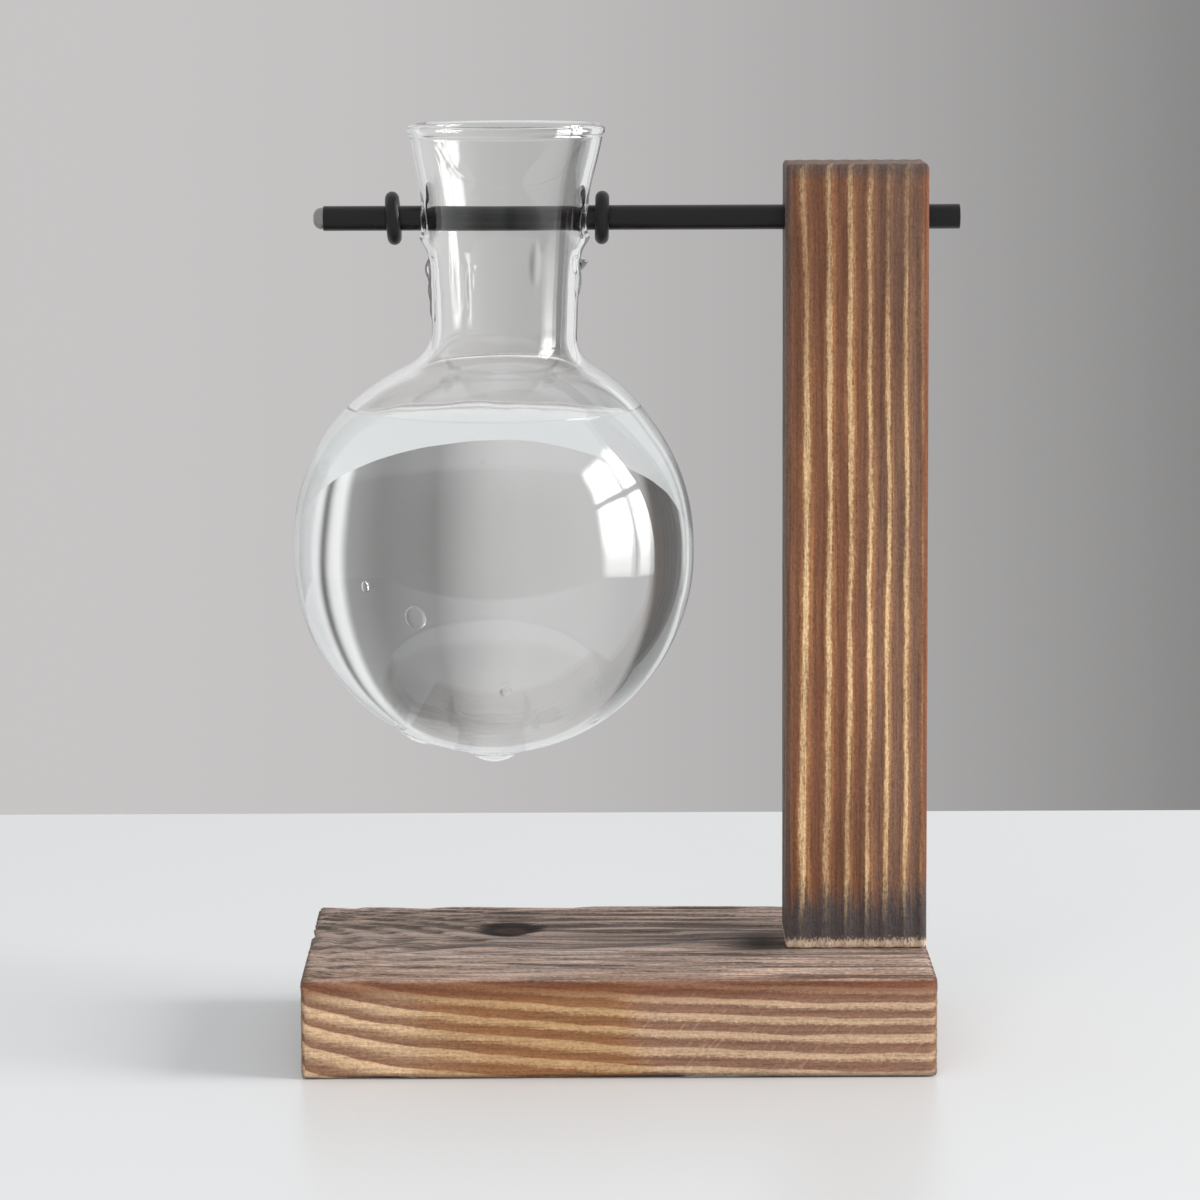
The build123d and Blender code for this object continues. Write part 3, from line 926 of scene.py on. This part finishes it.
def hole_rows(vertices, outer, inner, side):
    """Adds the rows of vertices from the outside of the neck through one hole to the inside."""
    glass = settings().glass
    shape = glass_outline()
    hole, curl = glass.hole_radius, HOLE_CURL
    angles = [math.atan2(vertices[v][2], vertices[v][1]) for v in outer]
    rows = []

    def add_row(points):
        start = len(vertices)
        vertices.extend([list(p) for p in points])
        rows.append(list(range(start, start + len(points))))

    def drawn(y, z):
        """How far the glass is drawn out at a place near the hole, most below it."""
        distance, angle = math.hypot(y, z), math.atan2(z, y)
        uneven = 0.55 - 0.40 * math.sin(angle) + 0.10 * math.sin(3 * angle + side)
        return glass.collar * uneven * math.exp(-(((distance - hole) / DRAWN_REACH) ** 2))

    def on_wall(y, z, inset, follow):
        """A point on the wall near the hole. Follow is how much of the drawing-out it takes part in."""
        return [side * (math.sqrt(shape.neck(z, inset) ** 2 - y * y) + follow * drawn(y, z)), y, z]

    def ring(radius, angle):
        return radius * math.cos(angle), radius * math.sin(angle)

    def wall_rows(edge, shares, inset, follow):
        """Rows on one side of the wall, at shares of the way from the block's edge to the hole's."""
        for share in shares:
            points = []
            for v, angle in zip(edge, angles):
                _, y0, z0 = vertices[v]
                y1, z1 = ring(hole + curl, angle)
                points.append(on_wall(y0 + (y1 - y0) * share, z0 + (z1 - z0) * share, inset, follow))
            add_row(points)

    bends = [QUARTER * (k + 1) / EDGE_ROWS for k in range(EDGE_ROWS)]
    wall_rows(outer, [(k / WALL_ROWS) ** 0.8 for k in range(1, WALL_ROWS + 1)], 0.0, 1.0)
    tip = [vertices[v][0] for v in rows[-1]]
    for bend in bends:
        radius = hole + curl * (1 - math.sin(bend))
        drop = side * curl * (1 - math.cos(bend))
        add_row([[x - drop, *ring(radius, angle)] for x, angle in zip(tip, angles)])
    edge = [ring(hole + curl, angle) for angle in angles]
    root = [on_wall(y, z, glass.wall, glass.collar_thin)[0] for y, z in edge]
    shoulder = [vertices[v][0] for v in rows[-1]]
    for k in range(1, BORE_ROWS + 1):
        share = k / BORE_ROWS
        add_row([
            [a + (b + side * curl - a) * share, *ring(hole, angle)]
            for a, b, angle in zip(shoulder, root, angles)
        ])
    for bend in bends:
        radius = hole + curl * (1 - math.cos(bend))
        rise = side * curl * (1 - math.sin(bend))
        add_row([[b + rise, *ring(radius, angle)] for b, angle in zip(root, angles)])
    inner_shares = [1 - (k / WALL_ROWS) ** 1.2 for k in range(1, WALL_ROWS)]
    wall_rows(inner, inner_shares, glass.wall, glass.collar_thin)
    return rows


def globe_place(turn, rise):
    """A place on the outside of the globe and the way it faces, from degrees round and degrees up."""
    shape = glass_outline()
    angle, tip = math.radians(turn), math.radians(rise)
    outward = Vector((math.cos(angle) * math.cos(tip), math.sin(angle) * math.cos(tip), math.sin(tip)))
    return outward * settings().glass.globe_radius + Vector((0, 0, shape.lower)), outward


def neck_place(turn, rise):
    """A place on the outside of the neck and the way it faces, from degrees round and millimetres up."""
    angle = math.radians(turn)
    outward = Vector((math.cos(angle), math.sin(angle), 0))
    return outward * glass_outline().neck(rise * MM) + Vector((0, 0, rise * MM)), outward


def with_runs(vertices):
    """Vertices of the outside, swollen where runs of water lie on it."""
    points = np.array(vertices, float)
    result = points.copy()
    runs = [(globe_place, run) for run in GLOBE_RUNS] + [(neck_place, run) for run in NECK_RUNS]
    for find, (turn, rise, *sizes) in runs:
        half_width, half_height, proud = (size * MM for size in sizes)
        middle, outward = find(turn, rise)
        aside = Vector((-math.sin(math.radians(turn)), math.cos(math.radians(turn)), 0))
        along = outward.cross(aside)
        away = points - np.array(middle)
        distance = np.hypot(away @ np.array(aside) / half_width, away @ np.array(along) / half_height)
        near = np.abs(away @ np.array(outward)) < 2 * half_width + proud
        bell = np.where(near, np.clip(1 - distance**2, 0, 1) ** 1.2, 0)
        result += np.outer(bell * proud, np.array(outward))
    return result.tolist()


def clear_material(name, colour, ior, ripple):
    """Clear glass or water that lets lamps through, and lets light out that it has mirrored more than once.
    Ripple is the depth of its faint unevenness."""
    material, tree, shader = new_material(name)
    feed(tree, shader.inputs["Base Color"], colour)
    shader.inputs["Transmission Weight"].default_value = 1.0
    shader.inputs["IOR"].default_value = ior
    shader.inputs["Roughness"].default_value = 0.0
    bump(tree, shader, noise(tree, place(tree), (0.09, 0.09, 0.05), detail=1.0), ripple)
    light = add_node(tree, "ShaderNodeLightPath")
    piped = Field(tree, light.outputs["Glossy Depth"]).math("GREATER_THAN", 1.5)
    see_through(tree, shader, (piped, light.outputs["Is Shadow Ray"]))
    return material


class VASE_OT_glass(bpy.types.Operator):
    """The blown-glass vase"""

    bl_idname = "vase_stand.glass"
    bl_label = "Glass"

    def execute(self, context):
        clear = clear_material("vase_glass", settings().glass.tint, 1.48, 0.05 * MM)
        piece = new_object("glass_vase", glass_mesh(clear))
        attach(piece, "vase")
        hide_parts("vase")
        return {"FINISHED"}


def water_mesh(material):
    """The body of water, whose rim climbs the glass a little."""
    glass, water = settings().glass, settings().water
    radius = glass.globe_radius - glass.wall + water.overlap
    level = water.level - hole_height()
    rim = math.asin((level + water.creep - glass_outline().upper) / radius)
    points = globe_outline(radius, WATER_BOTTOM_POINTS, rim)
    edge = radius * math.cos(rim)
    points.append((edge, level + water.creep))
    # The surface sinks from the rim as surface tension lets it, in steps that grow
    inwards, rise, step = 0.0, water.creep, 0.2 * MM
    while rise > 0.01 * MM:
        rise -= step * math.tan(2 * math.asin(rise / (2 * water.capillary)))
        inwards += step
        step *= 1.12
        points.append((edge - inwards, level + max(rise, 0.0)))
    points += [(edge * 0.25, level), (0.0, level)]
    vertices, faces = turned(points, WATER_COLUMNS)
    return new_mesh("water", crooked(vertices), faces, material)


class VASE_OT_water(bpy.types.Operator):
    """The water in the globe"""

    bl_idname = "vase_stand.water"
    bl_label = "Water"

    def execute(self, context):
        clear = clear_material("clear_water", (0.995, 0.998, 1.0), 1.333, 0.0)
        piece = new_object("water", water_mesh(clear))
        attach(piece, "vase")
        return {"FINISHED"}


def drop_tree():
    """A geometry tree that sets a flat-based drop on each point. The points carry each drop's size and
    the way it faces."""
    tree, given, result = new_tree("WaterDrops", {
        "Segments": "Int", "Rings": "Int", "Contact angle": "Float", "Material": "Material",
    })
    ball = add_node(tree, "GeometryNodeMeshUVSphere", {
        "Segments": given.outputs["Segments"], "Rings": given.outputs["Rings"], "Radius": 1.0,
    })
    # The ball's upper half becomes a shallow cap that meets the glass at the contact angle, its lower half
    # the flat base
    x, y, z = parts(tree, add_node(tree, "GeometryNodeInputPosition").outputs[0])
    contact = Field(tree, given.outputs["Contact angle"])
    bent = z.math("ARCCOSINE").math("MINIMUM", QUARTER) * contact / QUARTER
    level = contact.math("COSINE")
    height = (bent.math("COSINE") - level) / (1.0 - level)
    radius = (x * x + y * y).math("SQRT").math("MAXIMUM", 0.00001)
    above = z.math("GREATER_THAN", -0.0001)
    spread = bent.math("SINE") / contact.math("SINE") / radius * above + (1.0 - above)
    flat = add_node(tree, "ShaderNodeCombineXYZ", {0: x * spread, 1: y * spread, 2: height})
    cap = add_node(tree, "GeometryNodeSetPosition", {
        "Geometry": ball.outputs["Mesh"], "Position": flat.outputs[0],
    })
    size, outward = (
        add_node(tree, "GeometryNodeInputNamedAttribute", {"Name": name}, data_type="FLOAT_VECTOR").outputs[0]
        for name in ("size", "outward")
    )
    faced = add_node(tree, "FunctionNodeAlignRotationToVector", {"Vector": outward}, axis="Z")
    upright = add_node(tree, "FunctionNodeAlignRotationToVector", {
        "Rotation": faced.outputs[0], "Vector": (0.0, 0.0, 1.0),
    }, axis="Y", pivot_axis="Z")
    dots = add_node(tree, "GeometryNodeInstanceOnPoints", {
        "Points": given.outputs["Geometry"], "Instance": cap.outputs["Geometry"],
        "Rotation": upright.outputs[0], "Scale": size,
    })
    return end_tree(tree, dots.outputs["Instances"], given, result)


class VASE_OT_drops(bpy.types.Operator):
    """Drops of water on the outside of the glass"""

    bl_idname = "vase_stand.drops"
    bl_label = "Drops"

    def execute(self, context):
        water = settings().water
        spots, outwards, sizes = [], [], []
        for turn, rise, *size in DROPS:
            spot, outward = globe_place(turn, rise)
            spots.append(spot - outward * water.drop_root)
            outwards.append(outward)
            sizes.append([part * MM for part in size])
        mesh = new_mesh("water_drops", crooked(spots), [])
        for name, values in (("outward", outwards), ("size", sizes)):
            layer = mesh.attributes.new(name, "FLOAT_VECTOR", "POINT")
            layer.data.foreach_set("vector", np.array(values, float).ravel())
        piece = new_object("water_drops", mesh)
        run_tree(piece, drop_tree(), {
            "Segments": DROP_SEGMENTS, "Rings": DROP_RINGS, "Contact angle": water.contact,
            "Material": bpy.data.materials["clear_water"],
        })
        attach(piece, "vase")
        return {"FINISHED"}


def floor_material():
    """A pale satin table top. From below it can be seen through."""
    material, tree, shader = new_material("pale_table")
    feed(tree, shader.inputs["Base Color"], (0.84, 0.855, 0.87))
    shader.inputs["Roughness"].default_value = 0.35
    shader.inputs["Specular IOR Level"].default_value = 0.25
    below = add_node(tree, "ShaderNodeNewGeometry").outputs["Backfacing"]
    see_through(tree, shader, (below,))
    return material


def backdrop(tree):
    """Colours by direction. Wall is what glass and polish show: grey behind the stand, then darker and
    brighter strips to each side, pale beyond them and overhead, and darker again at the sides in light
    that was mirrored twice. Glow is a window on the right, in light that was mirrored once. Plain is the
    wall as the camera sees it."""
    x, y, z = parts(tree, add_node(tree, "ShaderNodeTexCoord").outputs["Generated"])
    light = add_node(tree, "ShaderNodeLightPath")
    mirrored = Field(tree, light.outputs["Glossy Depth"]).ramp(0.4, 0.6)
    twice = Field(tree, light.outputs["Glossy Depth"]).ramp(1.4, 1.6)
    in_glass = Field(tree, light.outputs["Transmission Depth"]).ramp(0.4, 0.6)
    grey, dim, dark = (0.455, 0.447, 0.445), (0.25, 0.246, 0.242), (0.08, 0.078, 0.076)
    bright, white, pale = (0.86, 0.86, 0.865), (0.94, 0.94, 0.94), (0.84, 0.855, 0.87)
    # Facing is 1 straight behind the stand and straight in front of it, and 0 at its sides
    facing = y.math("ABSOLUTE") / (x * x + y * y + 0.0001).math("SQRT")
    right_wall = Paint(tree, grey).over(facing.ramp(0.99, 0.955), dim).over(facing.ramp(0.914, 0.886), white)
    right_wall = right_wall.over(facing.bell(0.832, 0.022), dark).over(facing.ramp(0.79, 0.75), pale)
    left_wall = Paint(tree, grey).over(facing.ramp(0.875, 0.835), dark).over(facing.ramp(0.66, 0.58), bright)
    room = Paint(tree, bright).over(facing.ramp(0.30, 0.95), (0.30, 0.30, 0.30))
    wall = room.over(y.ramp(-0.05, 0.05), left_wall.over(x.ramp(-0.1, 0.1), right_wall))
    # The light falls off to the right behind the stand, and it is pale overhead
    aside = x.math("MINIMUM", 0.12).math("MAXIMUM", -0.12)
    fall = 1.0 + facing.ramp(0.90, 0.985) * (0.1 - aside * 3.1 - aside * aside * 16.0)
    wall, plain = (
        paint.times(fall).over(z.ramp(0.35, 0.95), (0.80, 0.80, 0.81)) for paint in (wall, wall.over(0.65, grey))
    )
    wall = wall.over(mirrored * in_glass * y.ramp(0.3, 0.7), bright)
    wall = wall.over(twice * facing.ramp(0.95, 0.80), (0.19, 0.19, 0.192))
    # The window has four panes. U runs along its wall and v up it, in shares of the distance to it
    right = x.math("MAXIMUM", 0.001)
    u, v = y / right, z / right
    pane = u.ramp(-0.46, -0.34) * u.ramp(0.44, 0.33) * v.ramp(-0.30, 0.20) * v.ramp(0.86, 0.68)
    bars = (u - 0.03).math("ABSOLUTE").ramp(0.02, 0.05) * (v - 0.36).math("ABSOLUTE").ramp(0.015, 0.04)
    glow = pane * bars * mirrored * (1.0 - twice) * x.ramp(0.0, 0.1)
    return wall, plain, glow


def make_world():
    """Even light for matt surfaces, and the backdrop for what is seen, mirrored or refracted."""
    world = bpy.data.worlds.new("studio")
    bpy.context.scene.world = world
    world.use_nodes = True
    tree = world.node_tree
    even = tree.nodes["Background"]
    feed(tree, even.inputs["Color"], (0.98, 0.99, 1.0))
    even.inputs["Strength"].default_value = 0.44
    wall, plain, glow = backdrop(tree)
    light = add_node(tree, "ShaderNodeLightPath")
    camera, glossy, clear, sharp = (
        Field(tree, light.outputs[f"Is {kind} Ray"]) for kind in ("Camera", "Glossy", "Transmission", "Singular")
    )
    around = Paint(tree, (0.84, 0.845, 0.85)).over(sharp, wall).over(camera, plain)
    seen = add_node(tree, "ShaderNodeBackground", {"Color": around})
    window = add_node(tree, "ShaderNodeBackground", {
        "Color": (1.0, 0.99, 0.97), "Strength": glow * sharp * 12.0,
    })
    sight = add_node(tree, "ShaderNodeAddShader", {0: seen.outputs[0], 1: window.outputs[0]})
    direct = camera.math("MAXIMUM", glossy).math("MAXIMUM", clear)
    direct = direct * Field(tree, light.outputs["Diffuse Depth"]).ramp(0.6, 0.4)
    both = add_node(tree, "ShaderNodeMixShader", {0: direct, 1: even.outputs[0], 2: sight.outputs[0]})
    feed(tree, tree.nodes["World Output"].inputs["Surface"], both.outputs[0])


def area_lamp(name, place_m, width, height, power, colour):
    """A soft rectangular lamp, aimed at the stand, that isn't itself seen."""
    data = bpy.data.lights.new(name, "AREA")
    data.shape = "RECTANGLE"
    data.size, data.size_y = width, height
    data.energy = power
    data.color = colour
    lamp = new_object(name, data)
    lamp.location = place_m
    aim = Vector((0, 0, 0.10))
    lamp.rotation_euler = (aim - Vector(place_m)).to_track_quat("-Z", "Y").to_euler()
    lamp.visible_camera = False
    lamp.visible_glossy = False
    lamp.visible_transmission = False


class VASE_OT_stage(bpy.types.Operator):
    """The table, the light and the camera"""

    bl_idname = "vase_stand.stage"
    bl_label = "Stage"

    def execute(self, context):
        scene = context.scene
        scene.view_settings.view_transform = "Standard"
        # The table is open under the base board, so that its underside gets light
        ways = ((-1, -1), (1, -1), (1, 1), (-1, 1))
        corners = [(x * TABLE_HALF_X, y * TABLE_HALF_Y, 0) for x, y in ways]
        corners += [(x * (base_high.x - TABLE_INSET), y * (base_high.y - TABLE_INSET), 0) for x, y in ways]
        sides = [[k, (k + 1) % 4, 4 + (k + 1) % 4, 4 + k] for k in range(4)]
        pale = floor_material()
        table = new_object("table", new_mesh("table", corners, sides, pale))
        # A strip behind it goes on for mirrored and refracted light only
        ends = ((-1, TABLE_HALF_Y), (1, TABLE_HALF_Y), (1, TABLE_FAR), (-1, TABLE_FAR))
        strip = [(x * TABLE_HALF_X, y, 0) for x, y in ends]
        beyond = new_object("table_beyond", new_mesh("table_beyond", strip, [[0, 1, 2, 3]], pale))
        beyond.visible_camera = False
        make_world()
        area_lamp(
            "window_lamp", (2.6, -0.43, 1.25), width=1.6, height=1.44, power=79.0, colour=(1.0, 0.985, 0.96)
        )
        area_lamp(
            "front_lamp", (-0.2, -1.2, 0.75), width=0.9, height=0.7, power=5.5, colour=(1.0, 0.99, 0.98)
        )
        camera = bpy.data.cameras.new("camera")
        camera.lens = settings().lens
        camera.sensor_width = SENSOR
        eye = new_object("camera", camera)
        eye.location = CAMERA_PLACE
        level = (Vector(CAMERA_AIM) - eye.location).to_track_quat("-Z", "Y")
        eye.rotation_euler = (level @ Quaternion((0, 0, 1), math.radians(CAMERA_ROLL))).to_euler()
        scene.camera = eye
        return {"FINISHED"}


class VASE_PT_stand(bpy.types.Panel):
    """Lists the steps that build the stand"""

    bl_idname = "VASE_PT_stand"
    bl_label = "Vase stand"
    bl_space_type = "VIEW_3D"
    bl_region_type = "UI"
    bl_category = "Vase stand"

    def draw(self, context):
        for step in STEPS:
            self.layout.operator(step.bl_idname)


STEPS = (
    VASE_OT_stage, VASE_OT_boards, VASE_OT_screws, VASE_OT_rod, VASE_OT_rings, VASE_OT_glass, VASE_OT_water,
    VASE_OT_drops,
)
CLASSES = (WoodSettings, GlassSettings, WaterSettings, StandSettings, *STEPS, VASE_PT_stand)


def register():
    for item in CLASSES:
        bpy.utils.register_class(item)
    bpy.types.Scene.vase_stand = PointerProperty(type=StandSettings)


def unregister():
    del bpy.types.Scene.vase_stand
    for item in reversed(CLASSES):
        bpy.utils.unregister_class(item)


def main():
    register()
    bpy.ops.vase_stand.stage()
    bpy.ops.vase_stand.boards()
    bpy.ops.vase_stand.screws()
    bpy.ops.vase_stand.rod()
    bpy.ops.vase_stand.rings()
    bpy.ops.vase_stand.glass()
    bpy.ops.vase_stand.water()
    bpy.ops.vase_stand.drops()


if __name__ == "__main__":
    main()
